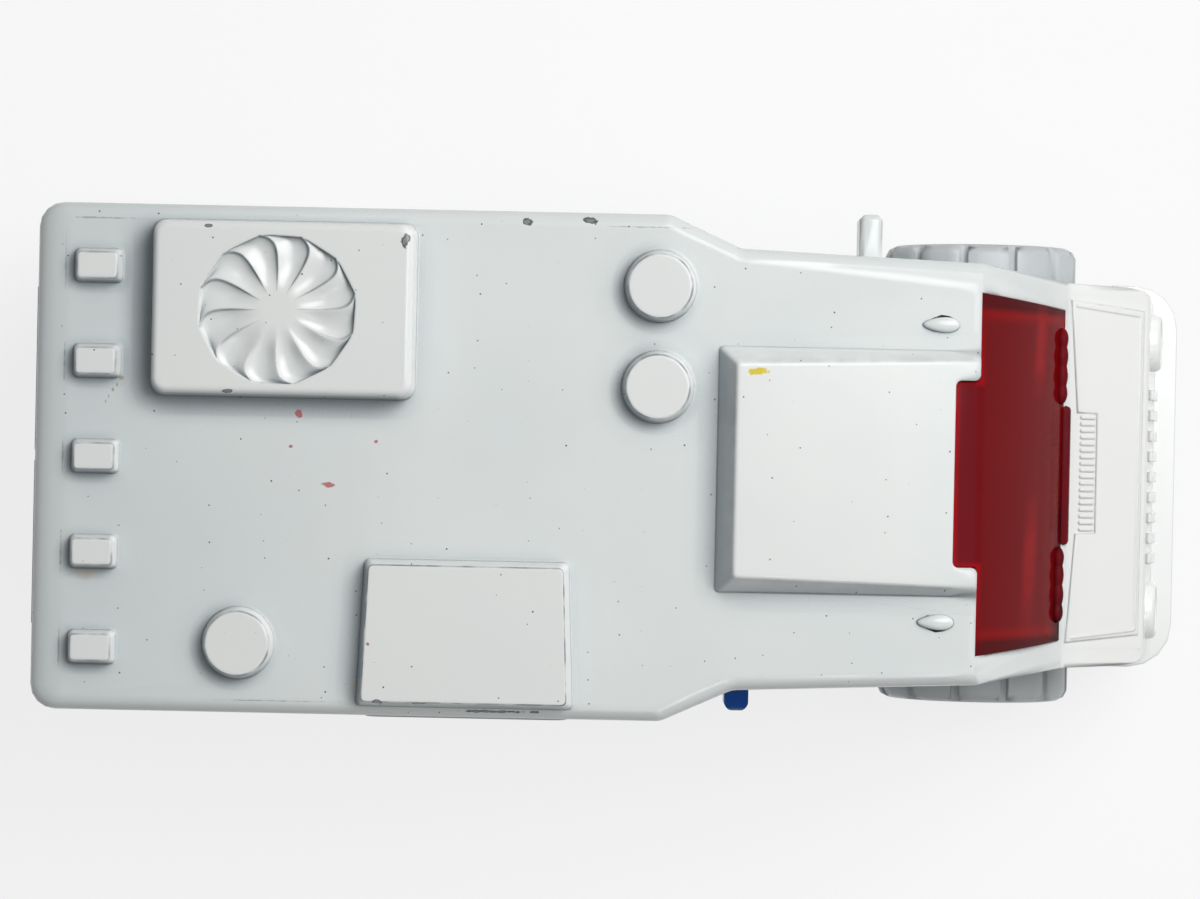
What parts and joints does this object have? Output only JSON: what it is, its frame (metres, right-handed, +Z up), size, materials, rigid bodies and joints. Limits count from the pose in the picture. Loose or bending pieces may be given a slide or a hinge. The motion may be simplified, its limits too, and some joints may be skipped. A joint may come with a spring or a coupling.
{
  "type": "die-cast ice cream truck",
  "caption": "Toy step van with a roof cooler, roof vents and a serving window: a cast shell with a tinted window moulding over a plastic base, on wheels that turn freely.",
  "frame": {"origin": "on the ground under the middle of the truck's length and width", "axes": "+X forward, +Y to the truck's left, +Z up"},
  "size_m": [0.077, 0.0338, 0.0362],
  "materials": {
    "white_enamel": "gloss enamel on zinc",
    "red_glazing": "clear tinted",
    "blue_plastic": "gloss",
    "white_plastic": "satin",
    "bright_steel": "bright"
  },
  "bodies": {
    "truck": {"body_casting": "white_enamel", "window_insert": "red_glazing", "interior_insert": "blue_plastic", "chassis_base": "blue_plastic", "rivet_front": "bright_steel", "rivet_rear": "bright_steel", "axle_front": "bright_steel", "axle_rear": "bright_steel"},
    "wheel_front_left": {"tyre_front_left": "white_plastic", "hub_front_left": "white_plastic"},
    "wheel_front_right": {"tyre_front_right": "white_plastic", "hub_front_right": "white_plastic"},
    "wheel_rear_left": {"tyre_rear_left": "white_plastic", "hub_rear_left": "white_plastic"},
    "wheel_rear_right": {"tyre_rear_right": "white_plastic", "hub_rear_right": "white_plastic"}
  },
  "joints": [
    {"name": "front_left_roll", "type": "hinge", "parent": "truck", "child": "wheel_front_left", "pos_m": [0.025, 0.0134, 0.00668], "axis": [0, 1, 0], "continuous": true},
    {"name": "front_right_roll", "type": "hinge", "parent": "truck", "child": "wheel_front_right", "pos_m": [0.025, -0.0134, 0.00668], "axis": [0, 1, 0], "continuous": true},
    {"name": "rear_left_roll", "type": "hinge", "parent": "truck", "child": "wheel_rear_left", "pos_m": [-0.021, 0.0134, 0.00668], "axis": [0, 1, 0], "continuous": true},
    {"name": "rear_right_roll", "type": "hinge", "parent": "truck", "child": "wheel_rear_right", "pos_m": [-0.021, -0.0134, 0.00668], "axis": [0, 1, 0], "continuous": true}
  ]
}
